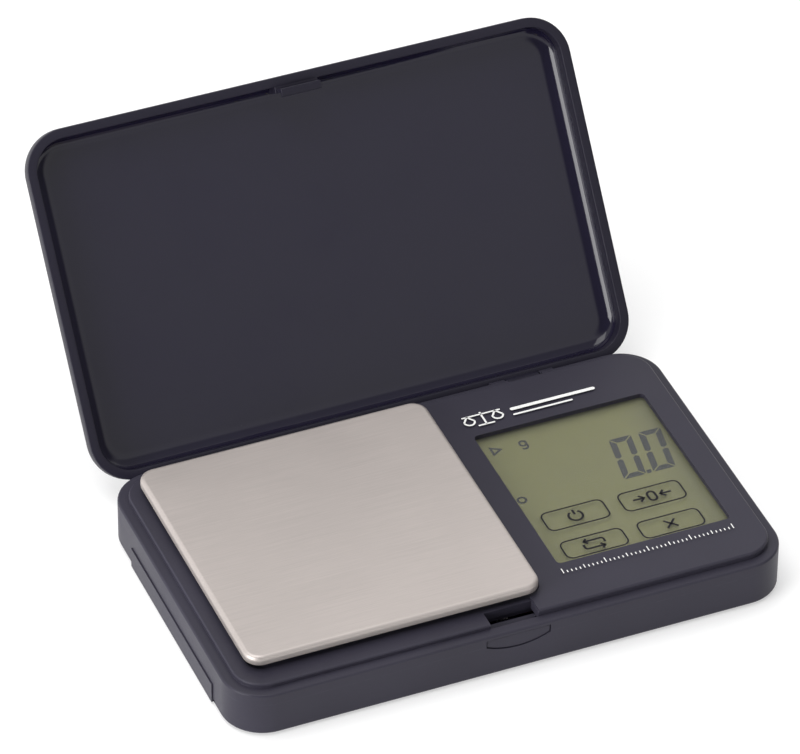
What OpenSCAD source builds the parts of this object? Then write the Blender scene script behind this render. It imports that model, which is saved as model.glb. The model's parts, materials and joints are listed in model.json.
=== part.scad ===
// Folding pocket gram scale: a hinged lid over a low case with a steel weighing tray,
// a touch display window, two AAA cells behind a sliding door, and a push-button latch.
// Frame: X right, Y back, Z up, in millimetres. The origin is under the middle of the case,
// at the level of the case's underside. The lid is drawn open, resting on its stop.

/* [Case] */
// Width of the case, left to right
case_w = 126; // [125:0.5:128]
// Depth of the case, front to back
case_d = 77; // [77:0.5:79]
// Radius of the upright corners
corner_r = 9.2; // [8.5:0.1:10]
// Thickness of the side walls
wall = 1.8; // [1.6:0.1:2]
// Height of the ledge that the lid's rim meets
ledge_z = 10.5; // [10.4:0.1:10.6]
// Width of the ledge
ledge_w = 2.4; // [2.3:0.1:2.5]
// Height of the joint between bottom case and top cover
parting_z = 7.9; // [7.8:0.1:8]
// Height of the deck round the tray
deck_z = 11.6; // [11.5:0.1:11.7]
// Height of the display panel
panel_z = 12.1; // [12:0.1:12.2]

/* [Tray] */
// Side of the square weighing tray
tray_size = 66; // [64:0.5:66]
// Height of the tray's top face
tray_z = 15.2; // [15.1:0.1:15.4]
// Thickness of the tray's steel sheet
tray_t = 0.8; // [0.6:0.1:0.8]
// Height of the turned-down lip
lip_h = 2; // [1.8:0.1:2]

/* [Display] */
// Width of the display window
window_w = 40; // [39:0.2:40]
// Depth of the display window
window_d = 45.4; // [45:0.2:46]

/* [Lid] */
// Outer height of the lid
lid_h = 6.9; // [6.8:0.1:7.5]
// Angle between the closed lid and its open stop, in degrees
open_angle = 126; // [90:1:126]
// Width of the lid's rim
rim_w = 2.1; // [1.8:0.1:2.1]

/* [Hidden] */

$fn = 48;
eps = 0.01;            // makes cutters pass right through a face
half_w = case_w / 2;
half_d = case_d / 2;

// Case heights
foot_h = 0.5;          // how far the feet stand below the case, whose underside is Z = 0
floor_z = 1.5;          // top face of the floor
edge_r = 0.5;          // rounding of the ledge's outer edge
foot_edge_r = 0.7;     // rounding of the case's lower edge
plateau_wall = 1.6;    // wall inside the ledge
deck_round = 0.4;      // rounding of the deck's outer edge
well_z = 10.6;         // sunk deck under the tray
cover_t = 1.2;         // thickness of the cover's decks

// Plateau inside the ledge
plat_x = half_w - ledge_w;
plat_y = half_d - ledge_w;
plat_r = corner_r - ledge_w;

// Tray
tray_cx = -24.6;
tray_cy = 1.2;
tray_x0 = tray_cx - tray_size / 2;
tray_x1 = tray_cx + tray_size / 2;
tray_y0 = tray_cy - tray_size / 2;
tray_y1 = tray_cy + tray_size / 2;
tray_r = 3.6;
tray_under = tray_z - tray_t;
tray_gap = 0.5;

// Display
panel_x0 = tray_x1 + tray_gap;
panel_corner = 1.6;
window_cx = 35.1;
window_cy = -1.2;
window_r = 1;
lens_t = 0.6;
lens_z = 11;           // top face of the lens
lens_lap = 1.4;        // how far the lens reaches under the panel
film_t = 0.15;
lcd_t = 1.9;
lcd_lap = 1;
reflector_t = 0.3;
film_z = lens_z - lens_t - film_t;
lcd_z = film_z - lcd_t;
reflector_z = lcd_z - reflector_t;
frame_wall = 1.4;
pcb_z = 4.6;           // top face of the circuit board
pcb_t = 1;
pcb_x0 = 10.4;
pcb_x1 = 58;
pcb_y0 = -33;
pcb_y1 = 33;
pcb_screw_x = [14.5, 51];
pcb_screw_y = [-30, 30];
pcb_screw_r = 0.9;
window_x0 = window_cx - window_w / 2;
window_x1 = window_cx + window_w / 2;
window_y0 = window_cy - window_d / 2;
window_y1 = window_cy + window_d / 2;
lcd_ledge = 2.6;
strip_w = 1.8;

// Hinge
axis_y = half_d + 0.5;
axis_z = 7.6;
hinge_x = 34.4;
barrel_r = 2;
arm_w = 7.6;
lug_w = 3.2;
hinge_gap = 0.3;
pin_r = 0.8;
pin_play = 0.06;
lug_mid = arm_w / 2 + hinge_gap + lug_w / 2;
hinge_half = lug_mid + lug_w / 2 + 0.3;
pin_len = 2 * (lug_mid + lug_w / 2) - 0.4;

// Lid, described closed and then turned open about the hinge
lid_z0 = ledge_z + 0.1;
lid_z1 = lid_z0 + lid_h;
lid_roof = 1.5;
lid_round = 4.7;
lid_inner_round = 3.4;

// Latch
button_half = 7.05;
button_top = 9.3;
button_low = 6.25;
button_arc = 16.8;     // radius of the button's lower edge
button_inset = 0.2;      // how far the button sits behind the wall's face
button_gap = 0.25;
slot_half = 5.4;
slot_y0 = -plat_y;
slot_y1 = -32.2;
hook_half = 4.6;
hook_block_half = 5;   // block that the hook grows from, inside the lid's front wall
hook_y0 = -35.9;
hook_y1 = -34.95;
hook_low = 7.7;
nose_top = 8.5;
nose_reach = 0.9;
catch_y0 = -34.6;
catch_y1 = -33.7;
catch_z0 = 8.7;
catch_z1 = 9.4;
plate_z0 = 5.7;
plate_z1 = 7;
plate_back = -31.6;
plate_front = -half_d + wall + 0.1;
button_back = -37.3;
slider_half = 6.4;
flange_half = 8.2;
leg_x = 5.8;
guide_x = 9.1;
guide_back = -31;
rest_x = 5.6;
room_half = rest_x + 1;     // room for the catch bar under the deck
room_y1 = catch_y1 + 2.2;
spring_z = 6.4;
spring_y1 = -26.4;
spring_coil_r = 1.35;
spring_wire_r = 0.2;

// Batteries
cell_r = 5.25;
cell_len = 43.7;
cell_z = 6.45;
cell_x = [-53, -42.3];
cell_cy = -1.1;
nub_r = 1.9;
nub_len = 0.9;
bay_play = 0.15;
bay_half = 24.9;       // half length of the battery bay
bay_y0 = cell_cy - bay_half;
bay_y1 = cell_cy + bay_half;
bay_x1 = -36;
bay_wall = 1;
hump_x0 = -57;
hump_x1 = -38;
hump_z = 12.5;
hump_half = 25.2;
door_y0 = -24.6;
door_y1 = 22.4;
door_x1 = -36.6;
door_proud = 0.3;
door_t = 0.9;
door_side_t = 1.3;
door_z1 = 4.9;
door_gap = 0.15;
tongue_w = 1;
tongue_t = 0.4;
tongue_z = 0.5;
spring_bar_r = 0.3;
grip_x0 = -58;
grip_pitch = 1.6;
grip_half = 8;
contact_t = 0.4;

// Load cell, along Y under the tray
beam_x0 = -22;
beam_x1 = -12;
beam_cx = (beam_x0 + beam_x1) / 2;
beam_y0 = -22.3;
beam_y1 = 24.7;
beam_z0 = 2.4;
beam_z1 = 7.8;
beam_cy = (beam_y0 + beam_y1) / 2;
flex_r = 2.15;
flex_dy = 4.6;
screw_r = 1.5;
screw_play = 0.1;
beam_end = 12;         // length of the clamped stretch at each end
end_screws = [3, 9];   // screw places from the beam's end
gauge_t = 0.15;
platform_travel = 0.4;
beam_cz = (beam_z0 + beam_z1) / 2;
stop_y = beam_y1 - 6;

// Carrier under the tray
carrier_t = 0.9;
carrier_inset = 2.6;
carrier_z0 = tray_under - carrier_t;
carrier_head_z = tray_under - 1.6;

// Wires: points of their routes, X, Y, Z, and for the signal wires how far they are spread
power_pad_y = -28;
wire_pad_y = 4;
power_route = [[-34.6, -26, 6], [-30, -26, 5], [-26, -26.5, 2.7], [-18, -27, 2.3],
               [-10, -25, 2.3], [-3, -24, 2.3], [4, -25, 2.7], [7.6, -27, 4.2], [9.3, -28, 5.7],
               [11.3, -28, 5.4]];
signal_route = [[-11.6, 1.2, 7.9, 0.35], [-10.8, 1.3, 7.1, 0.4], [-9.8, 1.6, 5, 0.5],
                [-8, 2, 2.9, 0.5], [-4, 2.4, 2.3, 0.6], [2, 3, 2.3, 0.8], [6, 3.6, 3.1, 1],
                [8.6, 4, 5.1, 1], [9.9, 4, 5.7, 1], [11.3, 4, 5.3, 1]];

// Case fasteners and feet
boss_x = 57.2;
boss_y = 32.7;
boss_r = 2.7;
tap_r = 0.9;
head_r = 2;
head_t = 1.3;
head_sink = 1.8;
clear_r = 1.2;
foot_x = 47.5;
foot_y = 31;
foot_r = 3.6;
foot_sink = 0.3;

// ---------- Shapes that repeat ----------

// A box between two corners
module box(x0, x1, y0, y1, z0, z1) {
    translate([x0, y0, z0])
        cube([x1 - x0, y1 - y0, z1 - z0]);
}

// A flat outline with round corners
module round_rect(x0, x1, y0, y1, r) {
    translate([x0 + r, y0])
        square([x1 - x0 - 2 * r, y1 - y0]);
    translate([x0, y0 + r])
        square([x1 - x0, y1 - y0 - 2 * r]);
    for (x = [x0 + r, x1 - r], y = [y0 + r, y1 - r])
        translate([x, y])
            circle(r = r);
}

// An upright block with round corners
module slab(x0, x1, y0, y1, r, z0, z1) {
    translate([0, 0, z0])
        linear_extrude(z1 - z0)
            round_rect(x0, x1, y0, y1, r);
}

// A slab whose top edge is rounded by e all the way round
module soft_slab(x0, x1, y0, y1, r, z0, z1, e) {
    slab(x0, x1, y0, y1, r, z0, z1 - e);
    slab(x0 + e, x1 - e, y0 + e, y1 - e, r - e, z0, z1);
    for (turned = [0, 180])
        translate([(x0 + x1) / 2, (y0 + y1) / 2, z1 - e])
            rotate(turned) {
                soft_edge((y1 - y0) / 2 - e, x1 - x0 - 2 * r, e);
                rotate(90)
                    soft_edge((x1 - x0) / 2 - e, y1 - y0 - 2 * r, e);
            }
    for (x = [x0 + r, x1 - r], y = [y0 + r, y1 - r])
        translate([x, y, z1 - e])
            rotate_extrude()
                translate([r - e, 0])
                    quarter(e);
}

// A quarter of a disc, from the X axis up to the Y axis
module quarter(r) {
    intersection() {
        circle(r = r);
        square(r);
    }
}

// A quarter-round bar of length len along X, whose round side faces +Y and +Z
module soft_edge(y, len, e) {
    translate([-len / 2, y, 0])
        rotate([90, 0, 90])
            linear_extrude(len)
                quarter(e);
}

// A cylinder along X from x0 to x1
module rod_x(x0, x1, y, z, r) {
    translate([x0, y, z])
        rotate([0, 90, 0])
            cylinder(r = r, h = x1 - x0);
}

// A cylinder along Y from y0 to y1
module rod_y(x, y0, y1, z, r) {
    translate([x, y0, z])
        rotate([-90, 0, 0])
            cylinder(r = r, h = y1 - y0);
}

// An upright cylinder from z0 to z1
module post(x, y, z0, z1, r) {
    translate([x, y, z0])
        cylinder(r = r, h = z1 - z0);
}

// A small pan-head screw: head on top, shank below, cross recess in the head
module pan_screw(x, y, z_head, head_radius, head_height, shank_r, shank_len) {
    difference() {
        union() {
            post(x, y, z_head, z_head + head_height, head_radius);
            post(x, y, z_head - shank_len, z_head + eps, shank_r);
        }
        for (a = [0, 90])
            translate([x, y, z_head + head_height])
                rotate([0, 0, a])
                    cube([head_radius * 1.2, head_radius * 0.28, head_height], center = true);
    }
}

// Points of a ring of n corners with radius r round the point p, square to the direction d
function ring(p, d, r, n) =
    let (
        w = d / norm(d),
        s = abs(w[2]) < 0.9 ? cross(w, [0, 0, 1]) : cross(w, [1, 0, 0]),
        u = s / norm(s),
        v = cross(w, u)
    )
    [for (i = [0:n - 1]) p + r * (cos(360 * i / n) * u + sin(360 * i / n) * v)];

// A tube swept along the points of a path
module tube(path, r, n = 8) {
    last = len(path) - 1;
    rings = [for (i = [0:last])
        ring(path[i], path[min(i + 1, last)] - path[max(i - 1, 0)], r, n)];
    points = [for (one = rings) each one];
    sides = [for (i = [0:last - 1], j = [0:n - 1])
        let (k = (j + 1) % n)
        [i * n + j, i * n + k, (i + 1) * n + k, (i + 1) * n + j]];
    start = [for (j = [0:n - 1]) n - 1 - j];
    end = [for (j = [0:n - 1]) last * n + j];
    polyhedron(points = points, faces = concat([start], sides, [end]), convexity = 10);
}

// Points of a coil along Y, its radius going from r0 to r1
function coil_y(x, z, y0, y1, r0, r1, turns, steps = 14) =
    [for (i = [0:turns * steps])
        let (t = i / (turns * steps), a = 360 * i / steps, r = r0 + (r1 - r0) * t)
        [x + r * cos(a), y0 + (y1 - y0) * t, z + r * sin(a)]];

// ---------- Case ----------

// Places of the four case screws
module at_bosses() {
    for (x = [-boss_x, boss_x], y = [-boss_y, boss_y])
        translate([x, y, 0])
            children();
}

// Room for the turning arms and their barrels, cut from the case's back wall
module hinge_room() {
    half = arm_w / 2 + hinge_gap;
    for (side = [-1, 1])
        translate([side * hinge_x, 0, 0]) {
            rod_x(-half, half, axis_y, axis_z, barrel_r + 0.25);
            box(-half, half, axis_y - barrel_r - 0.25, axis_y + 5, axis_z, deck_z + 1);
        }
}

// Outline of the latch button seen from the front, grown by g
module button_outline(g) {
    intersection() {
        translate([-button_half - g, button_low - g])
            square([2 * (button_half + g), button_top - button_low + 2 * g]);
        translate([0, button_low + button_arc])
            circle(r = button_arc + g, $fn = 96);
    }
}

// The button's outline as a block from y0 to y1
module button_block(y0, y1, g) {
    translate([0, y1, 0])
        rotate([90, 0, 0])
            linear_extrude(y1 - y0)
                button_outline(g);
}

// Walls, bosses and posts that stand on the floor of the bottom case
module case_insides() {
    intersection() {
        at_bosses()
            cylinder(r = boss_r, h = parting_z);
        slab(-half_w, half_w, -half_d, half_d, corner_r, 0, parting_z);
    }
    for (x = pcb_screw_x, y = pcb_screw_y)
        post(x, y, 0, pcb_z - pcb_t, 2.2);
    // pad that clamps the load cell's fixed end
    box(beam_x0, beam_x1, beam_y0, beam_y0 + beam_end, 0, beam_z0);
    // walls of the battery bay
    for (y = [bay_y0 - bay_wall, bay_y1])
        box(-half_w + wall - eps, bay_x1 + bay_wall, y, y + bay_wall, 0, parting_z);
    box(bay_x1, bay_x1 + bay_wall, bay_y0, bay_y1, 0, parting_z);
    // guides, rest and spring seat of the latch
    for (side = [-1, 1]) {
        box(side * guide_x - 0.5, side * guide_x + 0.5, -half_d + wall - eps, guide_back,
            0, plate_z1 + 0.4);
        box(side * rest_x - 0.6, side * rest_x + 0.6, -half_d + wall - eps, guide_back,
            0, plate_z0 - 0.1);
    }
    box(-2.4, 2.4, spring_y1, spring_y1 + 1.2, 0, spring_z + 1.4);
    // thick wall inside each hinge cut-out
    for (side = [-1, 1])
        box(side * hinge_x - hinge_half, side * hinge_x + hinge_half, half_d - wall - 1.4,
            half_d - wall + eps, 0, parting_z);
}

// The four lugs that hold the hinge pins
module hinge_lugs() {
    for (side = [-1, 1], end = [-1, 1])
        translate([side * hinge_x + end * lug_mid - lug_w / 2, axis_y, axis_z]) {
            rotate([0, 90, 0])
                cylinder(r = barrel_r, h = lug_w);
            rotate([90, 0, 90])
                linear_extrude(lug_w)
                    polygon([[barrel_r - eps, 0], [-0.5, -4.6], [-1.4, -4.6], [-1.4, 0]]);
        }
}

module bottom_case() {
    color("#3f3d47")
    difference() {
        union() {
            difference() {
                mirror([0, 0, 1])
                    soft_slab(-half_w, half_w, -half_d, half_d, corner_r, -parting_z, 0,
                              foot_edge_r);
                slab(-half_w + wall, half_w - wall, -half_d + wall, half_d - wall,
                     corner_r - wall, floor_z, parting_z + eps);
            }
            case_insides();
            hinge_lugs();
        }
        hinge_room();
        for (side = [-1, 1])
            rod_x(side * hinge_x - 9, side * hinge_x + 9, axis_y, axis_z, pin_r);
        button_block(-half_d - 1, -half_d + wall + eps, button_gap);
        // screw holes and head recesses
        at_bosses() {
            translate([0, 0, -eps])
                cylinder(r = head_r + 0.2, h = head_sink);
            cylinder(r = clear_r, h = parting_z + eps);
        }
        for (x = pcb_screw_x, y = pcb_screw_y)
            post(x, y, floor_z - 0.6, pcb_z, pcb_screw_r);
        for (y = end_screws)
            post(beam_cx, beam_y0 + y, 0.5, beam_z0 + eps, screw_r);
        // threaded hole of the overload screw
        post(beam_cx, stop_y, -eps, floor_z + eps, screw_r);
        for (x = [-foot_x, foot_x], y = [-foot_y, foot_y])
            post(x, y, -eps, foot_sink, foot_r);
        // opening for the battery door, with grooves for its tongues
        box(-half_w - 1, door_x1 + door_gap, door_y0 - door_gap, door_y1 + door_gap,
            -eps, floor_z + eps);
        box(-half_w - 1, -half_w + wall + eps, door_y0 - door_gap, door_y1 + door_gap,
            -eps, door_z1 + door_gap);
        box(-half_w - 1, door_x1 + door_gap, door_y0 - tongue_w - door_gap,
            door_y1 + tongue_w + door_gap, tongue_z - door_gap, tongue_z + tongue_t + door_gap);
    }
}

// The hollow under the top cover's decks
module cover_hollow() {
    inner_x = plat_x - plateau_wall;
    inner_y = plat_y - plateau_wall;
    inner_r = plat_r - plateau_wall;
    difference() {
        slab(-inner_x, inner_x, -inner_y, inner_y, inner_r, parting_z - eps, panel_z - cover_t);
        // underside of the deck on the tray's side
        box(-half_w, panel_x0 + cover_t, -half_d, half_d, well_z - cover_t, panel_z);
        at_bosses()
            cylinder(r = boss_r, h = panel_z);
    }
}

module top_cover() {
    color("#3f3d47")
    difference() {
        union() {
            soft_slab(-half_w, half_w, -half_d, half_d, corner_r, parting_z, ledge_z, edge_r);
            intersection() {
                soft_slab(-plat_x, plat_x, -plat_y, plat_y, plat_r, parting_z, deck_z, deck_round);
                box(-half_w, panel_x0 + cover_t, -half_d, half_d, parting_z, deck_z + 1);
            }
            intersection() {
                soft_slab(-plat_x, plat_x, -plat_y, plat_y, plat_r, parting_z, panel_z, edge_r);
                union() {
                    slab(panel_x0, half_w + corner_r, -half_d, half_d, panel_corner,
                         parting_z, panel_z);
                    slab(slot_half + 0.2, panel_x0 + corner_r, -half_d, tray_y0 + tray_r, 0.8,
                         parting_z, panel_z);
                }
            }
            // cover over the cells, hidden under the tray
            slab(hump_x0, hump_x1, cell_cy - hump_half, cell_cy + hump_half, 1, well_z - 1, hump_z);
        }
        // sunk well under the tray
        difference() {
            slab(tray_x0 + 0.6, tray_x1 + tray_gap, tray_y0 + 0.6, tray_y1 - 0.6, tray_r,
                 well_z, panel_z + 1);
            slab(hump_x0, hump_x1, cell_cy - hump_half, cell_cy + hump_half, 1, well_z - 1, hump_z);
        }
        cover_hollow();
        for (x = cell_x)
            rod_y(x, bay_y0, bay_y1, cell_z, cell_r + bay_play);
        // display window and the bed of the lens
        slab(window_x0, window_x1, window_y0, window_y1, window_r, parting_z, panel_z + 1);
        box(window_x0 - lens_lap - 0.1, window_x1 + lens_lap + 0.1, window_y0 - lens_lap - 0.1,
            window_y1 + lens_lap + 0.1, parting_z, lens_z);
        // way through for the carrier's foot and the screw heads of the load cell
        box(beam_x0 - 0.8, beam_x1 + 0.8, beam_y0 + 0.8, beam_y1 + 0.8, parting_z, well_z + eps);
        // latch slot in the deck
        box(-slot_half, slot_half, slot_y0, slot_y1, parting_z - eps, deck_z + eps);
        button_block(-half_d - 1, slot_y0 + eps, button_gap);
        box(-room_half, room_half, slot_y0, room_y1, parting_z - eps, catch_z1 + 0.25);
        hinge_room();
        for (side = [-1, 1])
            rod_x(side * hinge_x - hinge_half, side * hinge_x + hinge_half, axis_y, axis_z,
                  barrel_r + 0.2);
        at_bosses()
            cylinder(r = tap_r, h = ledge_z - 1);
    }
    color("#3f3d47")
        box(-room_half - 1, room_half + 1, room_y1, room_y1 + 1, parting_z + 0.2, well_z - 0.5);
}

module rubber_feet() {
    color("#1f1f22")
    for (x = [-foot_x, foot_x], y = [-foot_y, foot_y])
        post(x, y, -foot_h, foot_sink, foot_r - 0.05);
}

module case_screws() {
    color("#8d8d90")
    at_bosses()
        translate([0, 0, head_sink - 2 * eps])
            mirror([0, 0, 1])
                pan_screw(0, 0, 0, head_r, head_t, tap_r - 0.02, 6.5);
}

// ---------- Display and circuit ----------

module display_lens() {
    color("#9aa0a0", 0.5)
    slab(window_x0 - lens_lap, window_x1 + lens_lap, window_y0 - lens_lap, window_y1 + lens_lap,
         0.6, lens_z - lens_t, lens_z);
}

module touch_film() {
    color("#a8adaa", 0.5)
    box(window_x0 - 1, window_x1 + 1, window_y0 - 1, window_y1 + 1, film_z, film_z + film_t);
}

module lcd_glass() {
    color("#7f8268")
    union() {
        box(window_x0 - lcd_lap, window_x1 + lcd_lap, window_y0 - lcd_lap, window_y1 + lcd_lap,
            lcd_z + lcd_t / 2, film_z);
        // lower pane, longer for the contact ledges
        box(window_x0 - lcd_lap, window_x1 + lcd_lap, window_y0 - lcd_ledge, window_y1 + lcd_ledge,
            lcd_z, lcd_z + lcd_t / 2);
    }
}

module lcd_reflector() {
    color("#c9ccbf")
    box(window_x0 - lcd_lap, window_x1 + lcd_lap, window_y0, window_y1, reflector_z, lcd_z);
}

module lcd_frame() {
    x0 = window_x0 - lcd_lap - 0.1;
    x1 = window_x1 + lcd_lap + 0.1;
    y0 = window_y0 - lcd_ledge - 0.1;
    y1 = window_y1 + lcd_ledge + 0.1;
    color("#26252b")
    difference() {
        box(x0 - frame_wall, x1 + frame_wall, y0 - frame_wall, y1 + frame_wall, pcb_z,
            lens_z - lens_t);
        box(x0, x1, y0, y1, reflector_z - 0.1, lens_z);
        // opening under the reflector, and slots for the elastomer strips
        box(x0 + 3, x1 - 3, y0 + strip_w + 2, y1 - strip_w - 2, pcb_z - eps, lens_z);
        for (y = [y0 + 0.3, y1 - strip_w - 0.5])
            box(x0 + 3, x1 - 3, y, y + strip_w + 0.2, pcb_z - eps, lens_z);
    }
}

module zebra_strips() {
    y0 = window_y0 - lcd_ledge + 0.3;
    y1 = window_y1 + lcd_ledge - strip_w - 0.3;
    color("#d58f9c")
    for (y = [y0, y1])
        box(window_x0 + 2.2, window_x1 - 2.2, y, y + strip_w, pcb_z, lcd_z);
}

module main_pcb() {
    color("#2f6b3c")
    difference() {
        slab(pcb_x0, pcb_x1, pcb_y0, pcb_y1, 1.5, pcb_z - pcb_t, pcb_z);
        // clear of the case's screw bosses
        for (y = [pcb_y0, pcb_y1])
            box(boss_x - boss_r - 0.5, half_w, y - 4, y + 4, 0, panel_z);
        for (x = pcb_screw_x, y = pcb_screw_y)
            post(x, y, pcb_z - pcb_t - eps, pcb_z + eps, pcb_screw_r + 0.2);
    }
}

module circuit_components() {
    low = pcb_z - pcb_t;
    color("#1c1c1e")
    {
        // main chip, converter chip, memory
        box(30, 40, -5, 5, low - 1.4, low);
        box(18, 23, 8, 14, low - 1.2, low);
        box(44, 48, -18, -13, low - 1, low);
        // crystal can and its load capacitors
        box(44, 51, 2, 5.2, low - 1.6, low);
        // row of small resistors and capacitors
        for (i = [0:5])
            box(20 + 5 * i, 21.6 + 5 * i, -12, -11.2, low - 0.6, low);
        // two round capacitors
        for (y = [18, 24])
            post(36, y, low - 1.9, low, 2);
        // pads where the wires land
        for (i = [0:3])
            box(pcb_x0 + 0.4, pcb_x0 + 2, wire_pad_y + 2 * i - 0.5, wire_pad_y + 2 * i + 0.5,
                pcb_z, pcb_z + 0.3);
        for (i = [0:1])
            box(pcb_x0 + 0.4, pcb_x0 + 2, power_pad_y + 2.4 * i - 0.5,
                power_pad_y + 2.4 * i + 0.5, pcb_z, pcb_z + 0.3);
    }
}

module pcb_screws() {
    color("#8d8d90")
    for (x = pcb_screw_x, y = pcb_screw_y)
        pan_screw(x, y, pcb_z, 1.7, 1, pcb_screw_r, 3);
}

// ---------- Weighing ----------

module load_cell() {
    color("#b9bcc0")
    difference() {
        box(beam_x0, beam_x1, beam_y0, beam_y1, beam_z0, beam_z1);
        for (side = [-1, 1])
            rod_x(beam_x0 - 1, beam_x1 + 1, beam_cy + side * flex_dy, beam_cz, flex_r);
        box(beam_x0 - 1, beam_x1 + 1, beam_cy - flex_dy, beam_cy + flex_dy, beam_cz - 0.7,
            beam_cz + 0.7);
        for (y = end_screws)
            post(beam_cx, beam_y0 + y, beam_z0 - 1, beam_z1 + 1, screw_r);
        for (y = end_screws)
            post(beam_cx, beam_y1 - y, beam_z0 - 1, beam_z1 + 1, screw_r + screw_play);
    }
}

module strain_gauges() {
    color("#c98a3d")
    for (side = [-1, 1], z = [beam_z0 - gauge_t, beam_z1])
        box(beam_cx - 2.5, beam_cx + 2.5, beam_cy + side * flex_dy - 2, beam_cy + side * flex_dy + 2,
            z, z + gauge_t);
}

module load_cell_screws() {
    color("#8d8d90")
    for (y = end_screws)
        pan_screw(beam_cx, beam_y0 + y, beam_z1, 2.6, 1.3, screw_r, beam_z1 - 0.7);
}

module overload_screw() {
    color("#8d8d90")
    difference() {
        post(beam_cx, stop_y, 0.2, beam_z0 - platform_travel - 0.05, screw_r);
        // hexagon socket
        translate([beam_cx, stop_y, 0])
            cylinder(r = 0.85, h = 1.2, $fn = 6);
    }
}

module tray_carrier() {
    foot_y0 = beam_y1 - beam_end;
    color("#d8d6d0")
    difference() {
        union() {
            slab(tray_x0 + carrier_inset, tray_x1 - carrier_inset, tray_y0 + carrier_inset,
                 tray_y1 - carrier_inset, 2.4, carrier_z0, tray_under);
            box(beam_x0, beam_x1, foot_y0, beam_y1, beam_z1, carrier_z0 + eps);
            // stiffening ribs on the side away from the cells
            for (y = [-26, -13, 28])
                box(hump_x1 + 1, tray_x1 - 5, y, y + 1.2, carrier_z0 - 1.4, carrier_z0 + eps);
            for (x = [-30, -4])
                box(x, x + 1.2, tray_y0 + 5, tray_y1 - 5, carrier_z0 - 1.4, carrier_z0 + eps);
        }
        for (y = end_screws) {
            post(beam_cx, beam_y1 - y, beam_z1 - 1, tray_z, screw_r + screw_play);
            post(beam_cx, beam_y1 - y, carrier_head_z, tray_z, 2.9);
        }
    }
}

module carrier_screws() {
    color("#8d8d90")
    for (y = end_screws)
        pan_screw(beam_cx, beam_y1 - y, carrier_head_z, 2.6, 1.3, screw_r, 7.2);
}

module weighing_tray() {
    color("#c9c6c2")
    difference() {
        soft_slab(tray_x0, tray_x1, tray_y0, tray_y1, tray_r, tray_z - lip_h, tray_z, 1);
        slab(tray_x0 + tray_t, tray_x1 - tray_t, tray_y0 + tray_t, tray_y1 - tray_t,
             tray_r - tray_t, tray_z - lip_h - eps, tray_under);
    }
}

// ---------- Power ----------

// One AAA cell along Y, its positive nub pointing to the front (side -1) or the back (side 1)
module aaa_cell(x, side) {
    y0 = cell_cy - cell_len / 2;
    rod_y(x, y0, y0 + cell_len, cell_z, cell_r);
    if (side < 0)
        rod_y(x, y0 - nub_len, y0, cell_z, nub_r);
    else
        rod_y(x, y0 + cell_len, y0 + cell_len + nub_len, cell_z, nub_r);
}

module aaa_cell_front_pole() {
    color("#b87f3a")
    aaa_cell(cell_x[0], -1);
}

module aaa_cell_back_pole() {
    color("#b87f3a")
    aaa_cell(cell_x[1], 1);
}

module battery_springs() {
    reach = bay_half - contact_t - cell_len / 2;
    slack = spring_bar_r + 0.08;
    color("#c9c9cc")
    {
        tube(coil_y(cell_x[0], cell_z, bay_y1 - contact_t - slack,
                    bay_y1 - contact_t - reach + slack, 3.4, 1.8, 3), spring_bar_r, 6);
        tube(coil_y(cell_x[1], cell_z, bay_y0 + contact_t + slack,
                    bay_y0 + contact_t + reach - slack, 3.4, 1.8, 3), spring_bar_r, 6);
    }
}

module battery_contacts() {
    plate_z0 = floor_z + 0.2;
    nub_plate = cell_cy + cell_len / 2 + nub_len;
    color("#c9c9cc")
    {
        // bridge across both cells at the back
        box(cell_x[0] - 4, cell_x[1] + 4, bay_y1 - contact_t, bay_y1, plate_z0, parting_z - 0.3);
        box(cell_x[1] - 2.4, cell_x[1] + 2.4, nub_plate, bay_y1 - contact_t, cell_z - 2, cell_z + 1);
        // separate plates at the front
        for (x = cell_x)
            box(x - 4, x + 4, bay_y0, bay_y0 + contact_t, plate_z0, parting_z - 0.3);
        box(cell_x[0] - 2.4, cell_x[0] + 2.4, bay_y0 + contact_t, 2 * cell_cy - nub_plate,
            cell_z - 2, cell_z + 1);
    }
}

module battery_door() {
    color("#45434d")
    difference() {
        union() {
            box(-half_w - door_proud, door_x1, door_y0, door_y1, 0, door_t);
            box(-half_w - door_proud, -half_w - door_proud + door_side_t, door_y0, door_y1,
                0, door_z1);
            // tongues that run in the case's grooves
            box(-half_w + wall + 0.3, door_x1, door_y0 - tongue_w, door_y1 + tongue_w,
                tongue_z, tongue_z + tongue_t);
        }
        // grip grooves across the underside
        for (i = [0:4])
            box(grip_x0 + grip_pitch * i, grip_x0 + grip_pitch * (i + 0.5), cell_cy - grip_half,
                cell_cy + grip_half, -eps, 0.3);
    }
}

module battery_wires() {
    color("#a33a32")
    for (i = [0:1])
        tube([for (p = power_route) p + [0, 2.4 * i, 0]], 0.45, 8);
}

module load_cell_wires() {
    color("#3a5fa3")
    for (i = [0:3])
        tube([for (p = signal_route) [p[0], p[1] + 2 * i * p[3], p[2]]], 0.35, 6);
}

// ---------- Lid ----------

// Turns what it holds from the closed place to the open stop
module opened() {
    translate([0, axis_y, axis_z])
        rotate([-open_angle, 0, 0])
            translate([0, -axis_y, -axis_z])
                children();
}

// Side outline of a hinge arm, Y across and Z up, measured from the hinge axis
module arm_outline() {
    circle(r = barrel_r);
    polygon([[-1.95, 0.4], [-1.95, 4.6], [1, 4.6], [2.45, 3.4], [2.45, 1.22], [2, 1], [0, 0]]);
}

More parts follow.
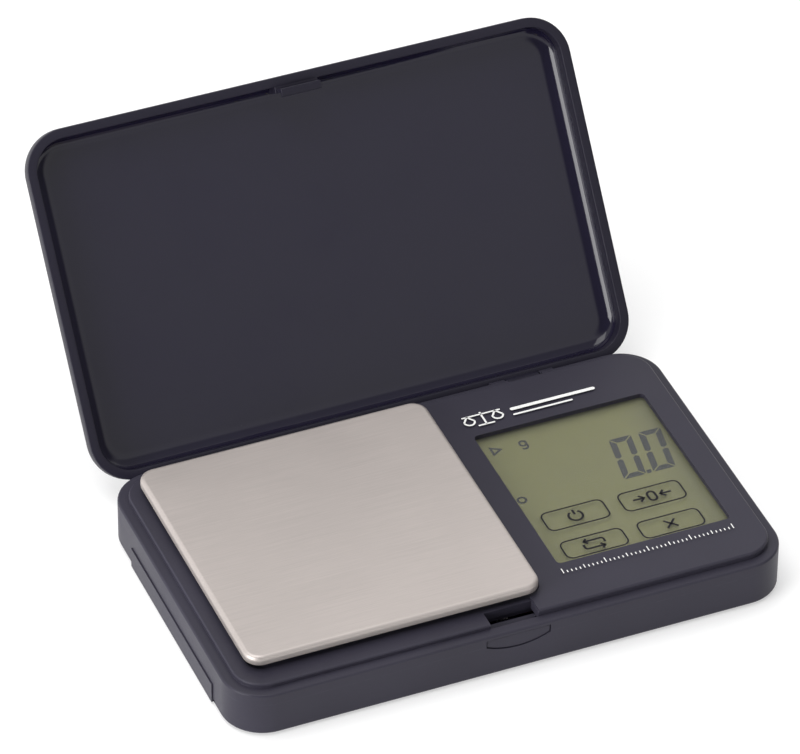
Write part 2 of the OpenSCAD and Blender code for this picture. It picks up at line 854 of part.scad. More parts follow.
module lid_closed() {
    difference() {
        union() {
            difference() {
                soft_slab(-half_w, half_w, -half_d, half_d, corner_r, lid_z0, lid_z1, lid_round);
                soft_slab(-half_w + rim_w, half_w - rim_w, -half_d + rim_w, half_d - rim_w,
                          corner_r - rim_w, lid_z0 - eps, lid_z1 - lid_roof, lid_inner_round);
            }
            // block and hook of the latch
            box(-hook_block_half, hook_block_half, -half_d + rim_w - 0.2, hook_y1,
                lid_z0, lid_z1 - lid_roof + 0.2);
            translate([-hook_half, 0, 0])
                rotate([90, 0, 90])
                    linear_extrude(2 * hook_half)
                        polygon([[hook_y0, deck_z + 1], [hook_y0, hook_low],
                                 [hook_y1 + 0.2, hook_low], [hook_y1 + nose_reach, nose_top - 0.4],
                                 [hook_y1 + nose_reach, nose_top], [hook_y1, nose_top],
                                 [hook_y1, deck_z + 1]]);
            for (side = [-1, 1])
                translate([side * hinge_x - arm_w / 2, axis_y, axis_z])
                    rotate([90, 0, 90])
                        linear_extrude(arm_w)
                            arm_outline();
        }
        for (side = [-1, 1])
            rod_x(side * hinge_x - arm_w, side * hinge_x + arm_w, axis_y, axis_z,
                  pin_r + pin_play);
    }
}

module lid() {
    color("#3b3942")
    opened()
        lid_closed();
}

module hinge_pins() {
    color("#a5a5a8")
    for (side = [-1, 1])
        rod_x(side * hinge_x - pin_len / 2, side * hinge_x + pin_len / 2, axis_y, axis_z, pin_r);
}

// ---------- Latch ----------

module latch_button() {
    front_y = -half_d + button_inset;
    color("#3f3d47")
    difference() {
        union() {
            button_block(front_y, button_back, 0);
            // neck through the wall, and the plate behind it
            intersection() {
                button_block(button_back - eps, plate_front + eps, 0);
                box(-button_half, button_half, -half_d, plate_front + 1, plate_z0, plate_z1);
            }
            box(-slider_half, slider_half, plate_front, plate_back, plate_z0, plate_z1);
            // flange that stops the button in its opening
            box(-flange_half, flange_half, plate_front, plate_front + 1, plate_z0, plate_z1);
            // catch bar on two legs
            for (side = [-1, 1])
                box(side * leg_x - 0.6, side * leg_x + 0.6, catch_y0, catch_y1, plate_z0, catch_z1);
            translate([-leg_x - 0.6, 0, 0])
                rotate([90, 0, 90])
                    linear_extrude(2 * leg_x + 1.2)
                        polygon([[catch_y0, catch_z0], [catch_y1, catch_z0], [catch_y1, catch_z1],
                                 [catch_y0 + 0.7, catch_z1], [catch_y0, catch_z1 - 0.5]]);
            // spring pad and its spigot
            box(-2.2, 2.2, plate_back - 0.9, plate_back, plate_z0 - 0.9, plate_z1 + 0.6);
            rod_y(0, plate_back - eps, plate_back + 1.6, spring_z, 0.8);
        }
        // clear of the lid's hook
        box(-hook_half - 0.3, hook_half + 0.3, button_back, catch_y1 + 0.4, plate_z1 - 0.3,
            catch_z0 - eps);
    }
}

module latch_spring() {
    color("#c9c9cc")
    tube(coil_y(0, spring_z, plate_back + spring_wire_r + 0.05, spring_y1 - spring_wire_r - 0.05,
                spring_coil_r, spring_coil_r, 5), spring_wire_r, 6);
}

// ---------- What is drawn ----------

bottom_case();
top_cover();
display_lens();
touch_film();
lcd_glass();
lcd_reflector();
lcd_frame();
zebra_strips();
main_pcb();
circuit_components();
pcb_screws();
load_cell();
strain_gauges();
load_cell_screws();
overload_screw();
tray_carrier();
carrier_screws();
weighing_tray();
aaa_cell_front_pole();
aaa_cell_back_pole();
battery_springs();
battery_contacts();
battery_door();
battery_wires();
load_cell_wires();
lid();
hinge_pins();
latch_button();
latch_spring();
case_screws();
rubber_feet();
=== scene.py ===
import json
import math

import bmesh
import bpy
from mathutils import Matrix, Vector


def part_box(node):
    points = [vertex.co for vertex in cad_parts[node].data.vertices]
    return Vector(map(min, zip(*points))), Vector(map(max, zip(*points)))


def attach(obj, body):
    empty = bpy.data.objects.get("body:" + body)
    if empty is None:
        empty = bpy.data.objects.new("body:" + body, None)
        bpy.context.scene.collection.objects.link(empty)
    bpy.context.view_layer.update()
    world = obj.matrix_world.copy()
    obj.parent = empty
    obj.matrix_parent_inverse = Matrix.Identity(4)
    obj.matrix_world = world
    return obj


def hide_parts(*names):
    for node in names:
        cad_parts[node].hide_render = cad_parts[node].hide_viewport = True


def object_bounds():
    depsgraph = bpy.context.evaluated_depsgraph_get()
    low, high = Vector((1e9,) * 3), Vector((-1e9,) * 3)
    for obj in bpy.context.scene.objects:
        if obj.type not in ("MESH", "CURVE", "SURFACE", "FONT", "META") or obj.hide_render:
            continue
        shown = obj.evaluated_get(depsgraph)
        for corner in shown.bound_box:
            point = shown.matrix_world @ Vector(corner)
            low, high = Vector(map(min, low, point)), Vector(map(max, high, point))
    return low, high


bl_info = {
    "name": "Folding Gram Scale",
    "version": (1, 0, 0),
    "blender": (4, 5, 0),
    "location": "View3D > Sidebar > Gram Scale",
    "description": "Finishes, display, printing and studio for a folding pocket gram scale",
    "category": "Object",
}

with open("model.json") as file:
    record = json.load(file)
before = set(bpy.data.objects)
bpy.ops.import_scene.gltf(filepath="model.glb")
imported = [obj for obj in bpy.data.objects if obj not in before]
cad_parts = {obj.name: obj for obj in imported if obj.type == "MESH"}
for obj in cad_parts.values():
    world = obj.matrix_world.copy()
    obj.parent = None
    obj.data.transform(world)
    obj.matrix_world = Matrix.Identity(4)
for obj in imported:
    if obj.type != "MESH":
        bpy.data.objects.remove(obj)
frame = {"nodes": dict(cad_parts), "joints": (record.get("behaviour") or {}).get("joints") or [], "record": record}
CAD_LO, CAD_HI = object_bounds()
MM = 0.001


def rgb(code):
    """A linear colour from a hexadecimal screen colour."""
    parts = [int(code[i:i + 2], 16) / 255 for i in (0, 2, 4)]
    return tuple(c / 12.92 if c <= 0.04045 else ((c + 0.055) / 1.055) ** 2.4 for c in parts)


# ---------- Settings ----------

def length(name, text, default):
    """A length setting, in metres."""
    return bpy.props.FloatProperty(name=name, description=text, default=default, unit="LENGTH",
                                   subtype="DISTANCE", precision=5)


def angle(name, text, degrees):
    """An angle setting, given here in degrees."""
    return bpy.props.FloatProperty(name=name, description=text, default=math.radians(degrees),
                                   unit="ROTATION", subtype="ANGLE")


def colour(name, text, code):
    """A colour setting."""
    return bpy.props.FloatVectorProperty(name=name, description=text, default=rgb(code), size=3,
                                         subtype="COLOR", min=0.0, max=1.0)


def number(name, text, default):
    """A plain number setting."""
    return bpy.props.FloatProperty(name=name, description=text, default=default)


class GramScaleSizes(bpy.types.PropertyGroup):
    """Sizes of what is drawn on and added to the scale"""
    digit_height: length("Digit height", "Height of the two big figures", 13.3 * MM)
    digit_width: length("Digit width", "Width of a figure over its outer edges", 5.2 * MM)
    digit_pitch: length("Digit pitch", "From one figure to the next", 6.9 * MM)
    digit_slant: angle("Digit slant", "How far the figures lean to the right", 9.5)
    reading_place: bpy.props.FloatVectorProperty(
        name="Reading place", description="Lower left corner of the left figure, in X and Y",
        default=(40.3 * MM, -1.85 * MM), size=2, unit="LENGTH", precision=5)
    point: length("Point", "Side of the square point between the figures", 1.1 * MM)
    segment: length("Segment width", "Width of a figure's segments", 1.45 * MM)
    segment_gap: length("Segment gap", "Gap between neighbouring segments", 0.22 * MM)
    mark_line: length("Mark line", "Width of the small marks' lines", 0.52 * MM)
    key_width: length("Key width", "Width of a touch key's outline", 14.2 * MM)
    key_depth: length("Key depth", "Depth of an upper touch key's outline", 6.1 * MM)
    low_key_depth: length("Lower key depth", "Depth of a lower touch key's outline", 5.6 * MM)
    key_corner: length("Key corner", "Corner radius of a touch key", 1.5 * MM)
    key_line: length("Key line", "Width of the lines round the keys", 0.36 * MM)
    print_line: length("Printed line", "Width of the white printed lines", 0.42 * MM)
    tick_pitch: length("Tick pitch", "From one division tick to the next", 0.98 * MM)
    tick_count: bpy.props.IntProperty(name="Ticks", description="Spaces between ticks", default=40)
    ink: length("Ink thickness", "Thickness of printing and of display segments", 0.02 * MM)


class GramScaleColours(bpy.types.PropertyGroup):
    """Colours of the scale's finishes"""
    case: colour("Case", "Matt charcoal plastic of the case", "312f3a")
    lid: colour("Lid", "Matt charcoal plastic of the lid's outside", "201e2a")
    polish: colour("Lid inside", "Polished charcoal plastic inside the lid", "171426")
    steel: colour("Tray", "Brushed stainless steel", "b9b1ad")
    display: colour("Display", "Grey-green display cell", "6d6d38")
    segment: colour("Segments", "Display segments that are on", "11162a")
    ink: colour("Key ink", "Black ink of the touch keys", "121016")
    white: colour("White ink", "White printing on the panel", "f2f2f0")
    board: colour("Board", "Solder mask of the circuit board", "1f5a33")
    sleeve: colour("Cell sleeve", "Printed sleeve of the cells", "b8792e")


class GramScaleStudio(bpy.types.PropertyGroup):
    """Camera and lights"""
    azimuth: angle("Azimuth", "Camera's turn about the vertical, 0 looking along +Y", -22.93)
    elevation: angle("Elevation", "Camera's height above the horizon", 38.86)
    roll: angle("Roll", "Camera's turn about its own axis", 0.59)
    distance: length("Distance", "From the camera to its target", 1.406)
    target_drop: length("Target drop", "How far the target is below the middle", 4.3 * MM)
    lens: bpy.props.FloatProperty(name="Lens", description="Focal length in millimetres",
                                  default=297.0, subtype="DISTANCE_CAMERA")
    floor_tone: number("Floor tone", "Brightness of the pale floor", 0.62)
    floor_glow: number("Floor glow", "Light that the pale floor gives off, as a light table", 0.4)
    key_power: number("Overhead light", "Power of the overhead softbox in watts", 7.0)
    side_power: number("Side light", "Power of the left softbox in watts", 9.5)
    world: number("Surroundings", "Strength of the even surroundings", 1.18)
    dim: number("Dim share", "Share of that strength low on the left and on the right", 0.2)
    half_dim: number("Half-dim share", "Share of that strength above the display", 0.5)


# ---------- Material building ----------

class Tree:
    """A node tree, with short calls that add nodes and join them."""

    def __init__(self, tree):
        self.tree = tree
        tree.nodes.clear()

    def add(self, kind, values=None, **settings):
        """Adds a node. Values are its inputs by name or number; sockets are joined, others set."""
        node = self.tree.nodes.new(kind)
        for name, value in settings.items():
            setattr(node, name, value)
        for name, value in (values or {}).items():
            if isinstance(value, bpy.types.NodeSocket):
                self.tree.links.new(value, node.inputs[name])
            else:
                node.inputs[name].default_value = value
        return node

    def math(self, operation, a, b=0.0, clamp=False):
        """The result of one sum."""
        return self.add("ShaderNodeMath", {0: a, 1: b}, operation=operation,
                        use_clamp=clamp).outputs[0]

    def remap(self, value, low, high, out_low=0.0, out_high=1.0):
        """Value taken from one range into another, clamped."""
        return self.add("ShaderNodeMapRange", {"Value": value, "From Min": low, "From Max": high,
                                               "To Min": out_low, "To Max": out_high}).outputs[0]

    def mix(self, share, a, b, blend="MIX"):
        """Two colours mixed."""
        node = self.add("ShaderNodeMix", data_type="RGBA", blend_type=blend)
        for socket, value in ((0, share), (6, a), (7, b)):
            if isinstance(value, bpy.types.NodeSocket):
                self.tree.links.new(value, node.inputs[socket])
            else:
                node.inputs[socket].default_value = value
        return node.outputs[2]

    def noise(self, scale, detail=2.0, vector=None, roughness=0.5):
        """Noise in the object's own coordinates, per metre."""
        values = {"Scale": scale, "Detail": detail, "Roughness": roughness,
                  "Vector": vector or self.place()}
        return self.add("ShaderNodeTexNoise", values).outputs["Fac"]

    def place(self):
        """Object coordinates, which are the frame's own and ride with the body."""
        return self.add("ShaderNodeTexCoord").outputs["Object"]

    def stretched(self, scale):
        """Object coordinates stretched by a scale for each axis."""
        return self.add("ShaderNodeMapping", {"Vector": self.place(), "Scale": scale}).outputs[0]


def effect(name, inputs, outputs, build):
    """A shader node group with named inputs and outputs, made once and then shared."""
    group = bpy.data.node_groups.get(name)
    if group:
        return group
    group = bpy.data.node_groups.new(name, "ShaderNodeTree")
    tree = Tree(group)
    for label, kind, default in inputs:
        socket = group.interface.new_socket(label, in_out="INPUT", socket_type=kind)
        socket.default_value = default
    for label, kind in outputs:
        group.interface.new_socket(label, in_out="OUTPUT", socket_type=kind)
    given = tree.add("NodeGroupInput").outputs
    out = tree.add("NodeGroupOutput")
    for label, value in build(tree, given).items():
        group.links.new(value, out.inputs[label])
    return group


FLOAT = "NodeSocketFloat"
COLOUR = "NodeSocketColor"


def moulded_grain():
    """Spark-eroded texture of moulded plastic, with a slow drift of tone and gloss."""
    def build(tree, given):
        fine = tree.noise(given["Grain per metre"], 3.0, roughness=0.6)
        drift = tree.noise(given["Drift per metre"], 2.0)
        tone = tree.remap(drift, 0.3, 0.7, -1.0, 1.0)
        speck = tree.remap(fine, 0.35, 0.65, -1.0, 1.0)
        shade = tree.math("ADD", tree.math("MULTIPLY", tone, 0.6),
                          tree.math("MULTIPLY", speck, 0.4))
        lift = tree.math("ADD", 1.0, tree.math("MULTIPLY", shade, given["Contrast"]))
        tinted = tree.add("ShaderNodeVectorMath", {0: given["Colour"], "Scale": lift},
                          operation="SCALE").outputs[0]
        rough = tree.math("ADD", given["Roughness"], tree.math("MULTIPLY", shade, 0.05), clamp=True)
        return {"Colour": tinted, "Roughness": rough, "Height": fine}

    return effect("Moulded grain",
                  [("Colour", COLOUR, (0.05, 0.05, 0.06, 1)), ("Roughness", FLOAT, 0.5),
                   ("Grain per metre", FLOAT, 3500.0), ("Drift per metre", FLOAT, 45.0),
                   ("Contrast", FLOAT, 0.12)],
                  [("Colour", COLOUR), ("Roughness", FLOAT), ("Height", FLOAT)], build)


def worn_edge():
    """Mask of rubbed edges: where the surface turns within a short distance, broken by noise."""
    def build(tree, given):
        rounded = tree.add("ShaderNodeBevel", {"Radius": given["Reach"]}, samples=4).outputs[0]
        flat = tree.add("ShaderNodeNewGeometry").outputs["Normal"]
        same = tree.add("ShaderNodeVectorMath", {0: rounded, 1: flat}, operation="DOT_PRODUCT")
        turn = tree.remap(same.outputs["Value"], 0.995, 0.86)
        patch = tree.remap(tree.noise(given["Patches per metre"], 4.0), 0.38, 0.68)
        return {"Mask": tree.math("MULTIPLY", tree.math("MULTIPLY", turn, patch), given["Amount"])}

    return effect("Worn edge",
                  [("Reach", FLOAT, 0.0003), ("Amount", FLOAT, 0.5),
                   ("Patches per metre", FLOAT, 260.0)], [("Mask", FLOAT)], build)


def handling_marks():
    """Faint smears and specks of dust from being handled."""
    def build(tree, given):
        smear = tree.remap(tree.noise(given["Smears per metre"], 5.0, roughness=0.65), 0.45, 0.75)
        cells = tree.add("ShaderNodeTexVoronoi", {"Vector": tree.place(),
                                                  "Scale": given["Specks per metre"]})
        speck = tree.remap(cells.outputs["Distance"], 0.05, 0.02)
        sparse = tree.remap(tree.noise(given["Smears per metre"], 1.0), 0.52, 0.6)
        dust = tree.math("MULTIPLY", tree.math("MULTIPLY", speck, sparse), given["Dust"])
        return {"Smear": smear, "Dust": dust}

    return effect("Handling marks",
                  [("Smears per metre", FLOAT, 60.0), ("Specks per metre", FLOAT, 900.0),
                   ("Dust", FLOAT, 0.3)], [("Smear", FLOAT), ("Dust", FLOAT)], build)


def brushed_lines():
    """Fine grinding lines along X, in steel and in machined metal."""
    def build(tree, given):
        long_lines = tree.noise(1.0, 3.0, vector=tree.stretched((45.0, 5200.0, 5200.0)))
        short_lines = tree.noise(1.0, 2.0, vector=tree.stretched((260.0, 11000.0, 11000.0)))
        both = tree.math("ADD", tree.math("MULTIPLY", long_lines, 0.6),
                         tree.math("MULTIPLY", short_lines, 0.4))
        cloud = tree.noise(22.0, 3.0)
        shade = tree.math("ADD", tree.remap(both, 0.35, 0.65, -1.0, 1.0),
                          tree.math("MULTIPLY", tree.remap(cloud, 0.3, 0.7, -1.0, 1.0), 0.7))
        lift = tree.math("ADD", 1.0, tree.math("MULTIPLY", shade, given["Contrast"]))
        tinted = tree.add("ShaderNodeVectorMath", {0: given["Colour"], "Scale": lift},
                          operation="SCALE").outputs[0]
        rough = tree.math("ADD", given["Roughness"], tree.math("MULTIPLY", shade, 0.04), clamp=True)
        return {"Colour": tinted, "Roughness": rough, "Height": both}

    return effect("Brushed lines",
                  [("Colour", COLOUR, (0.6, 0.6, 0.6, 1)), ("Roughness", FLOAT, 0.35),
                   ("Contrast", FLOAT, 0.06)],
                  [("Colour", COLOUR), ("Roughness", FLOAT), ("Height", FLOAT)], build)


def finish_material(name, build):
    """A material made once. Build gets its tree and its Principled shader."""
    material = bpy.data.materials.get(name)
    if material:
        return material
    material = bpy.data.materials.new(name)
    material.use_nodes = True
    tree = Tree(material.node_tree)
    shader = tree.add("ShaderNodeBsdfPrincipled")
    out = tree.add("ShaderNodeOutputMaterial")
    material.node_tree.links.new(shader.outputs[0], out.inputs["Surface"])
    build(tree, shader)
    return material


def feed(tree, shader, **sockets):
    """Joins or sets the shader's inputs, whose names have _ for a space."""
    for name, value in sockets.items():
        socket = shader.inputs[name.replace("_", " ")]
        if isinstance(value, bpy.types.NodeSocket):
            tree.tree.links.new(value, socket)
        else:
            socket.default_value = value


def bump(tree, height, strength, depth):
    """A bump normal from a height, its depth in metres."""
    return tree.add("ShaderNodeBump", {"Height": height, "Strength": strength,
                                       "Distance": depth}).outputs[0]


def opaque(colour_value):
    """A colour with full alpha."""
    return (*colour_value[:3], 1.0)


def moulded(name, tint, roughness, grain=3500.0, depth=0.00003, wear=0.35, contrast=0.12,
            coat=0.0, specular=0.5):
    """Moulded plastic with its grain, handling marks and rubbed edges."""
    def build(tree, shader):
        base = tree.add("ShaderNodeGroup", node_tree=moulded_grain())
        for label, value in (("Colour", opaque(tint)), ("Roughness", roughness),
                             ("Grain per metre", grain), ("Contrast", contrast)):
            base.inputs[label].default_value = value
        marks = tree.add("ShaderNodeGroup", node_tree=handling_marks())
        edge = tree.add("ShaderNodeGroup", node_tree=worn_edge())
        edge.inputs["Amount"].default_value = wear
        light = opaque([min(1.0, c * 2.2 + 0.03) for c in tint])
        worn = tree.mix(edge.outputs["Mask"], base.outputs["Colour"], light)
        dusty = tree.mix(tree.math("MULTIPLY", marks.outputs["Dust"], 0.4), worn,
                         (0.45, 0.44, 0.43, 1.0))
        rough = tree.math("ADD", base.outputs["Roughness"],
                          tree.math("MULTIPLY", marks.outputs["Smear"], 0.06), clamp=True)
        feed(tree, shader, Base_Color=dusty, Roughness=rough, Coat_Weight=coat,
             Coat_Roughness=0.06, Specular_IOR_Level=specular,
             Normal=bump(tree, base.outputs["Height"], 0.35, depth))
    return finish_material(name, build)


def metal(name, tint, roughness, contrast=0.06, metallic=1.0, depth=0.00001):
    """Ground or brushed metal."""
    def build(tree, shader):
        lines = tree.add("ShaderNodeGroup", node_tree=brushed_lines())
        for label, value in (("Colour", opaque(tint)), ("Roughness", roughness),
                             ("Contrast", contrast)):
            lines.inputs[label].default_value = value
        marks = tree.add("ShaderNodeGroup", node_tree=handling_marks())
        rough = tree.math("ADD", lines.outputs["Roughness"],
                          tree.math("MULTIPLY", marks.outputs["Smear"], 0.05), clamp=True)
        feed(tree, shader, Base_Color=lines.outputs["Colour"], Metallic=metallic, Roughness=rough,
             Normal=bump(tree, lines.outputs["Height"], 0.25, depth))
    return finish_material(name, build)


# ---------- Materials ----------

def case_plastic(colours):
    return moulded("Matt charcoal plastic", colours.case, 0.42, wear=0.25, specular=0.2)


def lid_outside(colours):
    return moulded("Matt lid plastic", colours.lid, 0.42, wear=0.25, specular=0.2)


def lid_inside(colours):
    return moulded("Polished lid plastic", colours.polish, 0.1, grain=900.0, depth=0.000003,
                   wear=0.0, contrast=0.05, specular=0.32)


def steel_tray(colours):
    return metal("Brushed stainless steel", colours.steel, 0.5, contrast=0.07, metallic=0.78)


def inner_plastic(colours):
    return moulded("Black moulded plastic", colours.ink, 0.55, wear=0.1)


def carrier_plastic(colours):
    return moulded("Off-white moulded plastic", rgb("d8d6cf"), 0.5, wear=0.0, contrast=0.05)


def foot_rubber(colours):
    return moulded("Matt black rubber", rgb("232326"), 0.85, grain=2200.0, depth=0.00005, wear=0.15)


def elastomer(colours):
    """Conducting elastomer: pink sides with a dark layer in the middle of each strip."""
    def build(tree, shader):
        bands = tree.add("ShaderNodeTexWave", {"Vector": tree.place(), "Scale": 1500.0,
                                               "Distortion": 0.6}, bands_direction="Y")
        mask = tree.remap(bands.outputs["Fac"], 0.45, 0.55)
        feed(tree, shader, Roughness=tree.remap(tree.noise(900.0), 0.3, 0.7, 0.6, 0.8),
             Base_Color=tree.mix(mask, opaque(rgb("d58f9c")), opaque(rgb("3a3236"))))
    return finish_material("Layered elastomer", build)


def clear_window(name, tint, alpha, gloss):
    """Clear plastic that dims what is behind it a little, with faint smears."""
    def build(tree, shader):
        marks = tree.add("ShaderNodeGroup", node_tree=handling_marks())
        rough = tree.math("ADD", gloss, tree.math("MULTIPLY", marks.outputs["Smear"], 0.08))
        alpha_value = tree.remap(marks.outputs["Smear"], 0.0, 1.0, alpha, alpha * 1.15)
        drift = tree.remap(tree.noise(30.0), 0.3, 0.7)
        feed(tree, shader, Roughness=rough, Alpha=alpha_value,
             Base_Color=tree.mix(drift, opaque(tint), opaque([c * 0.92 for c in tint])),
             Normal=bump(tree, tree.noise(140.0), 0.1, 0.00002))
    return finish_material(name, build)


def display_cell(colours):
    """Grey-green display cell: fine grain, a slow drift of tone, and painted shade towards its right and back
    edges.
    """
    def build(tree, shader):
        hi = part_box("display_lens")[1]
        place = tree.add("ShaderNodeSeparateXYZ", {0: tree.place()}).outputs
        # Painted shade: the cell gets darker towards its right and back edges, where the window's frame would
        # shade it.
        right = tree.remap(place[0], hi.x - 9 * MM, hi.x - 1.5 * MM)
        back = tree.remap(place[1], hi.y - 4 * MM, hi.y - 1 * MM)
        shade = tree.math("MULTIPLY", tree.math("MAXIMUM", right, back), 0.36)
        grain = tree.remap(tree.noise(5200.0, 2.0), 0.3, 0.7, 0.96, 1.04)
        tinted = tree.add("ShaderNodeVectorMath", {0: opaque(colours.display)[:3], "Scale": grain},
                          operation="SCALE").outputs[0]
        drift = tree.mix(tree.remap(tree.noise(38.0), 0.3, 0.7, 0.0, 0.5), tinted,
                         opaque([c * 0.9 for c in colours.display]))
        # Mixes the dark painted-shade colour into the cell near those edges.
        feed(tree, shader, Base_Color=tree.mix(shade, drift, opaque(rgb("3c3c35"))),
             Roughness=tree.remap(tree.noise(300.0), 0.3, 0.7, 0.42, 0.5))
    return finish_material("Grey-green display cell", build)


def ink(name, tint, roughness, specular=0.5):
    """Screen-printed ink, slightly uneven."""
    def build(tree, shader):
        cover = tree.remap(tree.noise(3800.0, 3.0), 0.3, 0.6)
        thin = opaque([c * 0.82 for c in tint])
        feed(tree, shader, Base_Color=tree.mix(cover, thin, opaque(tint)),
             Roughness=tree.remap(cover, 0.0, 1.0, roughness + 0.1, roughness),
             Specular_IOR_Level=specular, Normal=bump(tree, tree.noise(2600.0), 0.2, 0.00001))
    return finish_material(name, build)


def circuit_board(colours):
    """Solder mask with copper tracks showing through it."""
    def build(tree, shader):
        wide = tree.add("ShaderNodeTexBrick", {"Vector": tree.place(), "Scale": 160.0,
                                               "Mortar Size": 0.05, "Brick Width": 0.9,
                                               "Row Height": 0.35})
        tracks = tree.remap(wide.outputs["Fac"], 0.2, 0.8)
        dark = opaque([c * 0.7 for c in colours.board])
        feed(tree, shader, Base_Color=tree.mix(tracks, dark, opaque(rgb("3c8a4c"))), Roughness=0.32,
             Normal=bump(tree, tracks, 0.4, 0.00003), Coat_Weight=0.3)
    return finish_material("Green circuit board", build)


def cell_sleeve(colours):
    """A cell's printed sleeve with a dark band at one end, between bare steel ends."""
    def build(tree, shader):
        lo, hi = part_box("aaa_cell_front_pole")
        along = tree.add("ShaderNodeSeparateXYZ", {0: tree.place()}).outputs[1]
        band = tree.remap(along, lo.y + 13.0 * MM, lo.y + 13.1 * MM)
        sleeve = tree.mix(band, opaque(colours.sleeve), opaque(rgb("1d1c20")))
        marks = tree.add("ShaderNodeGroup", node_tree=handling_marks())
        front = tree.remap(along, lo.y + 1.7 * MM, lo.y + 1.6 * MM)
        back = tree.remap(along, hi.y - 0.8 * MM, hi.y - 0.7 * MM)
        bare = tree.math("MAXIMUM", front, back)
        feed(tree, shader, Base_Color=tree.mix(bare, sleeve, opaque(rgb("c9c9cc"))),
             Metallic=tree.math("MAXIMUM", bare, 0.35),
             Roughness=tree.math("ADD", 0.28, tree.math("MULTIPLY", marks.outputs["Smear"], 0.15)))
    return finish_material("Printed cell sleeve", build)


def gauge_foil(colours):
    """Foil grid on an amber film."""
    def build(tree, shader):
        grid = tree.add("ShaderNodeTexWave", {"Vector": tree.place(), "Scale": 1300.0},
                        bands_direction="X")
        lines = tree.remap(grid.outputs["Fac"], 0.4, 0.6)
        feed(tree, shader, Base_Color=tree.mix(lines, opaque(rgb("a86a24")), opaque(rgb("d9a86a"))),
             Metallic=lines, Roughness=tree.remap(lines, 0.0, 1.0, 0.4, 0.25))
    return finish_material("Foil gauge", build)


def finishes(colours):
    """Each material slot of the record and the material that it takes."""
    return {
        "case_plastic": case_plastic(colours),
        "lid_plastic": lid_outside(colours),
        "brushed_tray": steel_tray(colours),
        "clear_window": clear_window("Clear window", rgb("a9aaa0"), 0.10, 0.08),
        "clear_film": clear_window("Clear key film", rgb("b4b5ac"), 0.05, 0.2),
        "lcd_cell": display_cell(colours),
        "reflector": metal("Satin reflector", rgb("c9ccbf"), 0.45, contrast=0.03),
        "inner_plastic": inner_plastic(colours),
        "elastomer": elastomer(colours),
        "board": circuit_board(colours),
        "chip_plastic": moulded("Black chip plastic", rgb("26262a"), 0.6, wear=0.0),
        "screw_steel": metal("Zinc-plated steel", rgb("a3a3a6"), 0.38),
        "pin_steel": metal("Ground steel pin", rgb("b5b5b6"), 0.28),
        "nickel_steel": metal("Nickel-plated spring steel", rgb("c6c4bf"), 0.22),
        "beam_aluminium": metal("Milled aluminium", rgb("c9cbce"), 0.36, contrast=0.08),
        "gauge_foil": gauge_foil(colours),
        "carrier_plastic": carrier_plastic(colours),
        "cell_can": cell_sleeve(colours),
        "red_wire": moulded("Red wire sheath", rgb("a33028"), 0.42, wear=0.0),
        "blue_wire": moulded("Blue wire sheath", rgb("2f56a3"), 0.42, wear=0.0),
        "foot_rubber": foot_rubber(colours),
    }


# ---------- Mesh building ----------

def new_piece(name, bm, materials, body):
    """A finished mesh as a piece that rides on a CAD body."""
    bmesh.ops.recalc_face_normals(bm, faces=bm.faces)
    mesh = bpy.data.meshes.new(name)
    bm.to_mesh(mesh)
    bm.free()
    piece = bpy.data.objects.new(name, mesh)
    bpy.context.scene.collection.objects.link(piece)
    for material in materials:
        mesh.materials.append(material)
    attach(piece, body)
    return piece


def smooth(mesh, limit=35.0):
    """Smooth shading with sharp edges where faces meet at more than the limit, in degrees."""
    mesh.shade_smooth()
    mesh.set_sharp_from_angle(angle=math.radians(limit))


def arc(cx, cy, radius, start, stop, steps):
    """Points along an arc, angles in degrees."""
    return [(cx + radius * math.cos(math.radians(start + (stop - start) * i / steps)),
             cy + radius * math.sin(math.radians(start + (stop - start) * i / steps)))
            for i in range(steps + 1)]


def round_rect(half_x, half_y, radius, steps=12, centre=(0.0, 0.0)):
    """Outline of a rectangle with round corners, anticlockwise from its right front corner."""
    cx, cy = centre
    points = []
    for sx, sy, start in ((1, -1, -90), (1, 1, 0), (-1, 1, 90), (-1, -1, 180)):
        points += arc(cx + sx * (half_x - radius), cy + sy * (half_y - radius), radius,
                      start, start + 90, steps)
    return points


def skin(bm, rings, material_of=None):
    """Faces between rings of points that follow each other; each ring is closed."""
    made = [[bm.verts.new(p) for p in ring] for ring in rings]
    count = len(made[0])
    for r in range(len(made) - 1):
        for i in range(count):
            k = (i + 1) % count
            face = bm.faces.new((made[r][i], made[r][k], made[r + 1][k], made[r + 1][i]))
            if material_of:
                face.material_index = material_of(r)
    return made


def plate(bm, outline, z0, z1):
    """An upright prism over an outline."""
    low, high = skin(bm, [[(x, y, z) for x, y in outline] for z in (z0, z1)])
    bm.faces.new(low)
    bm.faces.new(high)


def ribbon(bm, points, width, z0, z1, closed=False):
    """A flat line of a width along points, as thin as z0 to z1."""
    count = len(points)
    left, right = [], []
    for i, point in enumerate(points):
        before = points[i - 1] if closed or i else point
        after = points[(i + 1) % count] if closed or i < count - 1 else point
        run = Vector((after[0] - before[0], after[1] - before[1])).normalized()
        inner = Vector((point[0] - before[0], point[1] - before[1]))
        inner = inner.normalized() if inner.length > 0 else run
        reach = width / 2 / max(0.5, abs(run.dot(inner)))
        side = Vector((-run.y, run.x)) * reach
        left.append((point[0] + side.x, point[1] + side.y))
        right.append((point[0] - side.x, point[1] - side.y))
    rows = [[bm.verts.new((*side[i], z)) for i in range(count)]
            for side, z in ((left, z1), (right, z1), (right, z0), (left, z0))]
    for i in range(count if closed else count - 1):
        k = (i + 1) % count
        for a in range(4):
            b = (a + 1) % 4
            bm.faces.new((rows[a][i], rows[a][k], rows[b][k], rows[b][i]))
    if not closed:
        for end in (0, count - 1):
            bm.faces.new([row[end] for row in rows])


# ---------- Pieces ----------

def settings():
    """The sizes, the colours and the studio settings."""
    scene = bpy.context.scene
    return scene.gram_scale_sizes, scene.gram_scale_colours, scene.gram_scale_studio


